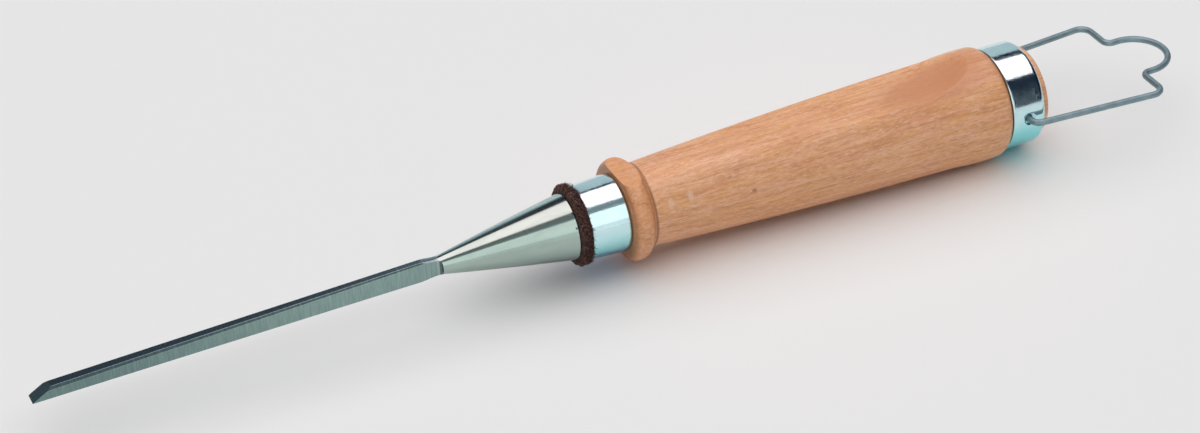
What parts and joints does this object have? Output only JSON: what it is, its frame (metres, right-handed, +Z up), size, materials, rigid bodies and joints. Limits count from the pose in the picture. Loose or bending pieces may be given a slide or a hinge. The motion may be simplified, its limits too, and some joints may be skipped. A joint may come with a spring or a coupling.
{
  "type": "wood chisel",
  "caption": "Narrow wood chisel: bevelled steel blade with conical bolster, turned wooden handle with ferrule, leather washer, striking hoop and a swinging wire hanging loop.",
  "frame": {"origin": "on the bench, under the middle of the tool's length, the hanging loop included, with the tool's axis level", "axes": "+X along the tool's axis from the cutting edge to the hanging loop, +Z up, square to the handle's two flats, with the blade's flat back facing down, +Y along the hinge of the loop"},
  "size_m": [0.3307, 0.0418, 0.0315],
  "materials": {
    "blade_steel": "ground and polished",
    "leather": "matte",
    "plated_steel": "bright zinc plate",
    "beech": "satin lacquer",
    "wire": "matte zinc"
  },
  "bodies": {
    "tool": {"blade": "blade_steel", "leather_washer": "leather", "front_ferrule": "plated_steel", "handle": "beech", "striking_hoop": "plated_steel"},
    "loop": {"hanging_loop": "wire"}
  },
  "joints": [
    {"name": "loop_swing", "type": "hinge", "parent": "tool", "child": "loop", "pos_m": [0.11235, 0, 0.01575], "axis": [0, 1, 0], "range_deg": [-155, 155]}
  ]
}
